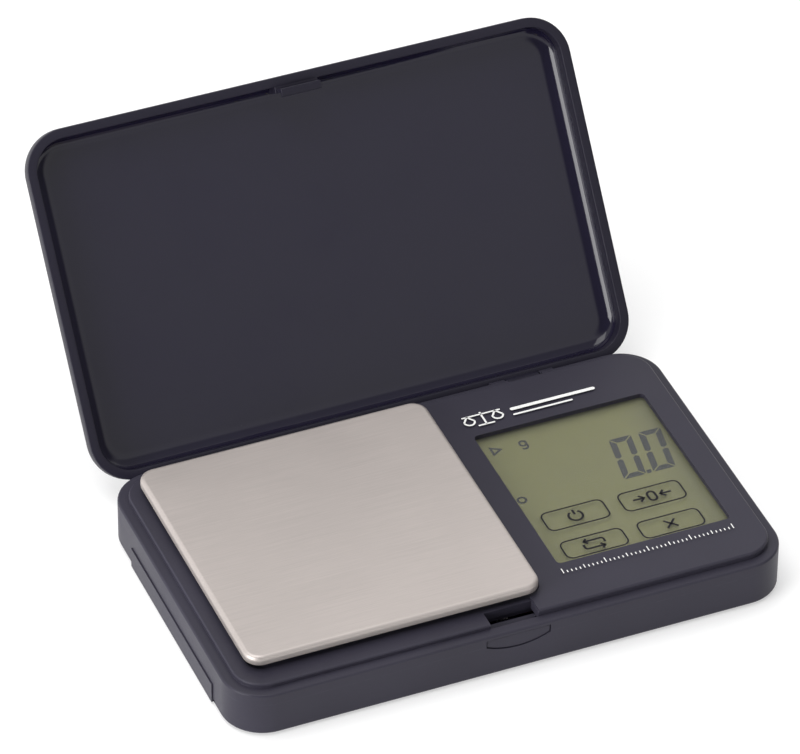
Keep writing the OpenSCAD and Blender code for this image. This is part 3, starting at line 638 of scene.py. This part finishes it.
def geometry_group(name, build):
    """A geometry node group made once, with a mesh in and a mesh out."""
    group = bpy.data.node_groups.get(name)
    if group:
        return group
    group = bpy.data.node_groups.new(name, "GeometryNodeTree")
    for way in ("INPUT", "OUTPUT"):
        group.interface.new_socket("Geometry", in_out=way, socket_type="NodeSocketGeometry")
    tree = Tree(group)
    given = tree.add("NodeGroupInput").outputs[0]
    tree.add("NodeGroupOutput", {0: build(tree, given)})
    return group


def closed_skin():
    """Joins the faces of a CAD solid into one closed skin."""
    def build(tree, mesh):
        plain = tree.add("GeometryNodeRemoveAttribute", {"Geometry": mesh, "Name": "custom_normal"})
        return tree.add("GeometryNodeMergeByDistance", {"Geometry": plain.outputs[0],
                                                        "Distance": 0.002 * MM}).outputs[0]
    return geometry_group("Closed skin", build)


def shaded_by_angle():
    """Smooth shading with sharp edges past 30 degrees."""
    def build(tree, mesh):
        turn = tree.add("GeometryNodeInputMeshEdgeAngle").outputs[0]
        near = tree.add("FunctionNodeCompare", {0: turn, 1: math.radians(30.0)},
                        data_type="FLOAT", operation="LESS_THAN").outputs[0]
        faces = tree.add("GeometryNodeSetShadeSmooth", {"Geometry": mesh, "Shade Smooth": True},
                         domain="FACE").outputs[0]
        return tree.add("GeometryNodeSetShadeSmooth", {"Geometry": faces, "Shade Smooth": near},
                        domain="EDGE").outputs[0]
    return geometry_group("Shaded by angle", build)


def soften(node, width, segments=2):
    """Breaks the sharp edges of a CAD node with a small round."""
    piece = frame["nodes"][node]
    piece.modifiers.new("Closed skin", "NODES").node_group = closed_skin()
    edge = piece.modifiers.new("Broken edges", "BEVEL")
    edge.width = width
    edge.segments = segments
    edge.limit_method = "ANGLE"
    edge.angle_limit = math.radians(40.0)
    edge.use_clamp_overlap = True
    piece.modifiers.new("Shaded by angle", "NODES").node_group = shaded_by_angle()
    even = piece.modifiers.new("Even shading", "WEIGHTED_NORMAL")
    even.mode = "FACE_AREA_WITH_ANGLE"
    even.keep_sharp = True


class GRAM_OT_finish_nodes(bpy.types.Operator):
    """Gives every CAD node the finish of its material slot, and breaks the edges of what shows"""
    bl_idname = "gram.finish_nodes"
    bl_label = "Finish the CAD nodes"

    def execute(self, context):
        materials = finishes(settings()[1])
        for part in frame["record"]["subparts"]:
            node = frame["nodes"][part["node"]]
            node.data.materials.clear()
            node.data.materials.append(materials[part["material_slot"]])
        for name, width in (("bottom_case", 0.15), ("top_cover", 0.15), ("battery_door", 0.12),
                            ("latch_button", 0.12), ("weighing_tray", 0.1)):
            soften(name, width * MM)
        return {"FINISHED"}


# ---------- Lid ----------

class Lid:
    """Sizes of the lid as it lies shut, and its turn to the open stop."""
    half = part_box("top_cover")[1]
    joint = next(j for j in frame["joints"] if j["name"] == "lid_hinge")
    axis = Vector(joint["pos_m"])
    rim_z = 10.6 * MM
    top_z = 17.5 * MM
    roof = 1.5 * MM
    rim_w = 2.1 * MM
    corner = 9.2 * MM
    outer_round = 4.7 * MM
    inner_round = 3.4 * MM
    inner_drop = 2.4 * MM
    edge = 0.22 * MM
    flat = 0.6 * MM
    hinge_x = 34.4 * MM
    arm_w = 7.6 * MM
    barrel_r = 2.0 * MM
    hook_half = 4.6 * MM

    @classmethod
    def opened(cls):
        """The turn about the hinge from shut to the open stop."""
        turn = Matrix.Rotation(-math.radians(max(cls.joint["range_deg"])), 4, "X")
        return Matrix.Translation(cls.axis) @ turn @ Matrix.Translation(-cls.axis)


def prism_x(bm, outline, x0, x1):
    """A prism along X over an outline in Y and Z."""
    near, far = skin(bm, [[(x, y, z) for y, z in outline] for x in (x0, x1)])
    bm.faces.new(near)
    bm.faces.new(far)


def rounded(piece, width, segments=3):
    """Rounds a piece's sharp edges and evens out its shading."""
    edge = piece.modifiers.new("Rounded edges", "BEVEL")
    edge.width = width
    edge.segments = segments
    edge.limit_method = "ANGLE"
    edge.angle_limit = math.radians(30.0)
    smooth(piece.data)
    even = piece.modifiers.new("Even shading", "WEIGHTED_NORMAL")
    even.keep_sharp = True


class GRAM_OT_lid(bpy.types.Operator):
    """Builds the lid's shell with its rounded rim and polished inside, its hook and its arms"""
    bl_idname = "gram.lid"
    bl_label = "Lid"

    def execute(self, context):
        colours = settings()[1]
        outside, inside = lid_outside(colours), lid_inside(colours)
        shell = self.shell([outside, inside])
        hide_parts("lid")
        self.hook(outside)
        self.arms(outside)
        return {"FINISHED"}

    def shell(self, materials):
        """One skin of rings from the middle of the roof's underside, over the rim, to its top."""
        inner = [(Lid.rim_w + Lid.inner_round + Lid.flat, Lid.top_z - Lid.roof)]
        inner += [(Lid.rim_w + Lid.inner_round * (1 - x),
                   Lid.top_z - Lid.roof - Lid.inner_drop * (1 - y))
                  for x, y in arc(0, 0, 1, 90, 0, 12)]
        rim = arc(Lid.rim_w - Lid.edge, Lid.rim_z + Lid.edge, Lid.edge, 0, -90, 3)
        rim += arc(Lid.edge, Lid.rim_z + Lid.edge, Lid.edge, -90, -180, 3)
        outer = [(Lid.outer_round - x, Lid.top_z - Lid.outer_round + y)
                 for x, y in arc(0, 0, Lid.outer_round, 0, 90, 10)]
        outer.append((Lid.outer_round + Lid.flat, Lid.top_z))
        profile = inner + rim + outer
        polished = len(inner)
        bm = bmesh.new()
        rings = [[(x, y, z) for x, y in
                  round_rect(Lid.half.x - inset, Lid.half.y - inset, Lid.corner - inset, 14)]
                 for inset, z in profile]
        made = skin(bm, rings, lambda r: 1 if r < polished - 1 else 0)
        bm.faces.new(made[0]).material_index = 1
        bm.faces.new(made[-1])
        bm.transform(Lid.opened())
        piece = new_piece("lid_shell", bm, materials, "lid")
        smooth(piece.data, 50.0)
        return piece

    def hook(self, material):
        """The block inside the front wall and the hook that reaches down behind the catch bar."""
        front = -Lid.half.y
        block = [(front + 1.9 * MM, 16.2 * MM), (front + 1.9 * MM, 10.65 * MM),
                 (front + 3.55 * MM, 10.65 * MM), (front + 3.55 * MM, 16.2 * MM)]
        hook = [(-35.9, 12.6), (-35.9, 7.7), (-34.75, 7.7), (-34.05, 8.1), (-34.05, 8.5),
                (-34.95, 8.5), (-34.95, 12.6)]
        for name, outline, half, width in (
                ("lid_hook_block", block, Lid.hook_half + 0.4 * MM, 0.15),
                ("lid_hook", [(y * MM, z * MM) for y, z in hook], Lid.hook_half, 0.12)):
            bm = bmesh.new()
            prism_x(bm, outline, -half, half)
            bm.transform(Lid.opened())
            rounded(new_piece(name, bm, [material], "lid"), width * MM)

    def arms(self, material):
        """Two arms from the lid's back wall to barrels round the hinge pins."""
        neck = [(-1.95, 0.4), (-1.95, 4.6), (1.0, 4.6), (2.45, 3.4), (2.45, 1.22), (1.84, 0.78)]
        barrel = arc(0, 0, Lid.barrel_r / MM, 23, -191.5, 20)
        outline = [(Lid.axis.y + y * MM, Lid.axis.z + z * MM) for y, z in neck + barrel[1:]]
        for side, name in ((-1, "lid_hinge_arm_left"), (1, "lid_hinge_arm_right")):
            bm = bmesh.new()
            middle = side * Lid.hinge_x
            prism_x(bm, outline, middle - Lid.arm_w / 2, middle + Lid.arm_w / 2)
            bm.transform(Lid.opened())
            rounded(new_piece(name, bm, [material], "lid"), 0.15 * MM)


# ---------- Display and printing ----------

def sheared(points, slant, origin=(0.0, 0.0)):
    """Points leaned to the right by an angle and moved to an origin."""
    lean = math.tan(slant)
    return [(origin[0] + x + y * lean, origin[1] + y) for x, y in points]


def figure(width, height, bar, gap, lit="abcdef"):
    """Outlines of the lit segments of a seven-segment figure, from its lower left corner."""
    half = height / 2
    cut = bar * 0.55
    across = [(gap, 0), (width - gap, 0), (width - gap - bar, bar), (gap + bar, bar)]
    middle = [(gap + cut, half), (gap + bar, half - bar / 2), (width - gap - bar, half - bar / 2),
              (width - gap - cut, half), (width - gap - bar, half + bar / 2),
              (gap + bar, half + bar / 2)]
    upright = [(0, gap), (bar, gap + bar), (bar, half - gap / 2 - bar * 0.35),
               (cut, half - gap / 2), (0, half - gap / 2 - bar * 0.35)]

    def across_x(points):
        return [(width - x, y) for x, y in points]

    def across_y(points):
        return [(x, height - y) for x, y in points]

    shapes = {"a": across_y(across), "b": across_x(across_y(upright)), "c": across_x(upright),
              "d": across, "e": upright, "f": across_y(upright), "g": middle}
    return [shapes[name] for name in lit]


class GRAM_OT_display(bpy.types.Operator):
    """Draws the reading, its unit and two marks on the display cell"""
    bl_idname = "gram.display"
    bl_label = "Display figures"

    def execute(self, context):
        sizes, colours, _ = settings()
        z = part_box("lcd_glass")[1].z
        material = ink("Display segments", colours.segment, 0.5, specular=0.15)
        origin = Vector(sizes.reading_place)
        bm = bmesh.new()
        for i in range(2):
            start = (origin.x + i * sizes.digit_pitch, origin.y)
            for shape in figure(sizes.digit_width, sizes.digit_height, sizes.segment,
                                sizes.segment_gap):
                plate(bm, sheared(shape, sizes.digit_slant, start), z, z + sizes.ink)
        dot = sizes.point
        start = (origin.x + sizes.digit_pitch - 1.45 * MM, origin.y)
        plate(bm, sheared([(0, 0), (dot, 0), (dot, dot), (0, dot)], sizes.digit_slant, start),
              z, z + sizes.ink)
        new_piece("display_reading", bm, [material], "case")

        bm = bmesh.new()
        bowl_x, bowl_y, bowl_r, tail_y = 25.0 * MM, 17.4 * MM, 0.72 * MM, 16.3 * MM
        bowl = round_rect(bowl_r, bowl_r * 1.1, bowl_r * 0.98, 6, (bowl_x, bowl_y))
        ribbon(bm, bowl, sizes.mark_line, z, z + sizes.ink, closed=True)
        tail = [(bowl_x + bowl_r, bowl_y + bowl_r * 1.1), (bowl_x + bowl_r, tail_y)]
        tail += arc(bowl_x, tail_y, bowl_r, 0, -150, 8)[1:]
        ribbon(bm, tail, sizes.mark_line, z, z + sizes.ink)
        new_piece("display_unit", bm, [material], "case")

        bm = bmesh.new()
        ribbon(bm, arc(17.3 * MM, 0.0, 0.9 * MM, 0, 345, 23), sizes.mark_line, z, z + sizes.ink,
               closed=True)
        arrow = [(17.8 * MM, 16.2 * MM), (19.8 * MM, 17.35 * MM), (17.8 * MM, 18.5 * MM)]
        ribbon(bm, arrow, sizes.mark_line, z, z + sizes.ink, closed=True)
        new_piece("display_marks", bm, [material], "case")
        return {"FINISHED"}


# Widths of the lines of the keys' symbols, in millimetres.
BOLD = 0.52
FINE = 0.5


class GRAM_OT_keys(bpy.types.Operator):
    """Prints the four touch keys' outlines and plain symbols on the window"""
    bl_idname = "gram.keys"
    bl_label = "Touch keys"

    def execute(self, context):
        sizes, colours, _ = settings()
        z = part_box("display_lens")[1].z
        material = ink("Black key ink", colours.ink, 0.5, specular=0.25)
        upper, lower = sizes.key_depth, sizes.low_key_depth
        for name, x, y, depth, draw in (("power", 25.5, -9.6, upper, self.power),
                                        ("zero", 43.2, -9.8, upper, self.zero),
                                        ("mode", 25.5, -19.5, lower, self.mode),
                                        ("clear", 43.2, -19.6, lower, self.clear)):
            bm = bmesh.new()
            outline = round_rect(sizes.key_width / 2, depth / 2, sizes.key_corner, 8,
                                 (x * MM, y * MM))
            ribbon(bm, outline, sizes.key_line, z, z + sizes.ink, closed=True)
            for points, width, closed in draw():
                placed = [((x + px) * MM, (y + py) * MM) for px, py in points]
                ribbon(bm, placed, width * MM, z, z + sizes.ink, closed)
            new_piece("key_" + name, bm, [material], "case")
        return {"FINISHED"}

    def power(self):
        """A broken ring with an upright bar."""
        return [(arc(0, -0.1, 1.55, 125, 415, 24), BOLD, False),
                ([(0, 0.35), (0, 1.9)], BOLD, False)]

    def zero(self):
        """A zero between two arrows."""
        strokes = [(round_rect(0.85, 1.45, 0.84, 6), BOLD, True)]
        for side in (-1, 1):
            strokes.append(([(side * 4.4, 0), (side * 1.9, 0)], FINE, False))
            strokes.append(([(side * 2.9, 1.0), (side * 1.9, 0), (side * 2.9, -1.0)], FINE, False))
        return strokes

    def mode(self):
        """Two arrows that follow each other round."""
        strokes = []
        for turn in (0, 180):
            c, s = math.cos(math.radians(turn)), math.sin(math.radians(turn))
            path = [(2.4, -0.3), (2.4, 0.6)] + arc(1.8, 0.6, 0.6, 0, 90, 5)[1:] + [(-2.0, 1.2)]
            head = [(-1.2, 2.0), (-2.0, 1.2), (-1.2, 0.4)]
            for points in (path, head):
                strokes.append(([(x * c - y * s, x * s + y * c) for x, y in points], FINE, False))
        return strokes

    def clear(self):
        """A cross."""
        return [([(-1.25, -1.25), (1.25, 1.25)], BOLD, False),
                ([(-1.25, 1.25), (1.25, -1.25)], BOLD, False)]


class GRAM_OT_printing(bpy.types.Operator):
    """Prints a plain balance picture above the window and a row of divisions below it, in white"""
    bl_idname = "gram.printing"
    bl_label = "Panel printing"

    def execute(self, context):
        sizes, colours, _ = settings()
        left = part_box("display_lens")[0].x + 1.2 * MM
        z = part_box("top_cover")[1].z
        material = ink("White ink", colours.white, 0.5)
        line = sizes.print_line
        self.balance(material, left, 24.0 * MM, z, sizes.ink, line)
        bm = bmesh.new()
        y = -27.6 * MM
        for i in range(sizes.tick_count + 1):
            x = left + i * sizes.tick_pitch
            tall = (1.5 if i % 10 == 0 else 1.1 if i % 5 == 0 else 0.7) * MM
            ribbon(bm, [(x, y), (x, y + tall)], line * 0.5, z, z + sizes.ink)
        new_piece("printed_divisions", bm, [material], "case")
        return {"FINISHED"}

    def balance(self, material, x, y, z, thickness, line):
        """A beam on a stand with two pans, and a long bar beside it."""
        bm = bmesh.new()
        strokes = [[(0.0, 3.5), (9.0, 3.5)], [(4.5, 0.0), (4.5, 4.2)], [(2.6, 0.0), (6.4, 0.0)]]
        for cx in (1.2, 7.8):
            strokes.append([(cx - 1.2, 1.9), (cx, 3.5), (cx + 1.2, 1.9)])
            strokes.append(arc(cx, 1.9, 1.2, 180, 360, 8))
        for points in strokes:
            ribbon(bm, [(x + px * MM, y + py * MM) for px, py in points], line, z, z + thickness)
        new_piece("printed_balance", bm, [material], "case")
        bm = bmesh.new()
        for x0, x1, y0, tall in ((11.0, 31.0, 2.6, 0.9), (11.0, 25.0, 0.7, 0.5)):
            middle = (x + (x0 + x1) / 2 * MM, y + y0 * MM)
            plate(bm, round_rect((x1 - x0) / 2 * MM, tall / 2 * MM, tall * 0.49 * MM, 5, middle),
                  z, z + thickness)
        new_piece("printed_bars", bm, [material], "case")


class GRAM_OT_stage(bpy.types.Operator):
    """Adds the floor, the lights and the camera"""
    bl_idname = "gram.stage"
    bl_label = "Floor, lights and camera"

    def execute(self, context):
        studio = settings()[2]
        scene = context.scene
        middle = (CAD_LO + CAD_HI) / 2
        self.add_floor(studio)
        self.add_light("Overhead softbox", (-0.25, 0.1, 1.3), middle, (0.8, 0.8), studio.key_power)
        self.add_light("Left softbox", (-0.95, -0.3, 0.27), middle, (0.6, 0.5), studio.side_power)
        self.add_world(scene, studio)
        self.add_camera(scene, studio, middle - Vector((0.0, 0.0, studio.target_drop)))
        scene.view_settings.view_transform = "Standard"
        return {"FINISHED"}

    def add_floor(self, studio):
        """A wide pale floor that the feet stand on."""
        bm = bmesh.new()
        half, steps = 6.0, 24
        bmesh.ops.create_grid(bm, x_segments=steps, y_segments=steps, size=half)
        mesh = bpy.data.meshes.new("studio_floor")
        bm.to_mesh(mesh)
        bm.free()
        floor = bpy.data.objects.new("studio_floor", mesh)
        floor.location.z = CAD_LO.z
        bpy.context.scene.collection.objects.link(floor)

        def build(tree, shader):
            cloud = tree.remap(tree.noise(3.0), 0.3, 0.7, 0.99, 1.0)
            tone = tree.add("ShaderNodeVectorMath", {0: (studio.floor_tone,) * 3, "Scale": cloud},
                            operation="SCALE").outputs[0]
            feed(tree, shader, Base_Color=tone, Roughness=0.9, Specular_IOR_Level=0.1,
                 Emission_Color=(1.0, 1.0, 1.0, 1.0), Emission_Strength=studio.floor_glow)
        mesh.materials.append(finish_material("Pale floor", build))

    def add_light(self, name, place, target, sides, power):
        """A softbox turned towards the scale."""
        data = bpy.data.lights.new(name, "AREA")
        data.shape = "RECTANGLE"
        data.size, data.size_y = sides
        data.energy = power
        light = bpy.data.objects.new(name, data)
        light.location = place
        light.rotation_euler = (target - Vector(place)).to_track_quat("-Z", "Y").to_euler()
        bpy.context.scene.collection.objects.link(light)

    def add_world(self, scene, studio):
        """Pale surroundings with dim parts, which the polished inside of the lid mirrors."""
        world = bpy.data.worlds.new("Studio")
        world.use_nodes = True
        tree = Tree(world.node_tree)
        way = tree.add("ShaderNodeTexCoord").outputs["Generated"]
        strength = studio.world
        for middle, outer, inner, share in (((-0.55, -0.75, 0.35), 50, 39, studio.dim),
                                            ((0.93, -0.35, 0.12), 44, 32, studio.dim),
                                            ((0.3, 0.0, 0.95), 31, 22, studio.half_dim)):
            near = tree.add("ShaderNodeVectorMath", {0: way, 1: Vector(middle).normalized()},
                            operation="DOT_PRODUCT").outputs["Value"]
            dim = tree.remap(near, math.cos(math.radians(outer)), math.cos(math.radians(inner)),
                             1.0, share)
            strength = tree.math("MULTIPLY", dim, strength)
        white = (1.0, 1.0, 1.0, 1.0)
        sky = tree.add("ShaderNodeBackground", {"Color": white, "Strength": strength})
        tree.add("ShaderNodeOutputWorld", {"Surface": sky.outputs[0]})
        scene.world = world

    def add_camera(self, scene, studio, target):
        """The camera, set by its turn, height and distance from its target."""
        a, e, r = studio.azimuth, studio.elevation, studio.roll
        back = Vector((math.sin(a) * math.cos(e), -math.cos(a) * math.cos(e), math.sin(e)))
        level = Vector((math.cos(a), math.sin(a), 0.0))
        over = back.cross(level)
        right = level * math.cos(r) + over * math.sin(r)
        up = over * math.cos(r) - level * math.sin(r)
        data = bpy.data.cameras.new("Camera")
        data.lens = studio.lens
        camera = bpy.data.objects.new("Camera", data)
        turn = Matrix((right, up, back)).transposed().to_4x4()
        camera.matrix_world = Matrix.Translation(target + back * studio.distance) @ turn
        scene.collection.objects.link(camera)
        scene.camera = camera


class GRAM_PT_sidebar(bpy.types.Panel):
    """Lists the steps that finish the scale"""
    bl_label = "Gram Scale"
    bl_idname = "GRAM_PT_sidebar"
    bl_space_type = "VIEW_3D"
    bl_region_type = "UI"
    bl_category = "Gram Scale"

    def draw(self, context):
        for step in STEPS:
            self.layout.operator(step.bl_idname)


STEPS = (GRAM_OT_finish_nodes, GRAM_OT_lid, GRAM_OT_display, GRAM_OT_keys, GRAM_OT_printing,
         GRAM_OT_stage)
CLASSES = (GramScaleSizes, GramScaleColours, GramScaleStudio) + STEPS + (GRAM_PT_sidebar,)
GROUPS = {"gram_scale_sizes": GramScaleSizes, "gram_scale_colours": GramScaleColours,
          "gram_scale_studio": GramScaleStudio}


def register():
    for cls in CLASSES:
        bpy.utils.register_class(cls)
    for name, group in GROUPS.items():
        setattr(bpy.types.Scene, name, bpy.props.PointerProperty(type=group))


def unregister():
    for name in GROUPS:
        delattr(bpy.types.Scene, name)
    for cls in reversed(CLASSES):
        bpy.utils.unregister_class(cls)


def main():
    register()
    for step in STEPS:
        group, name = step.bl_idname.split(".")
        getattr(getattr(bpy.ops, group), name)()


if __name__ == "__main__":
    main()
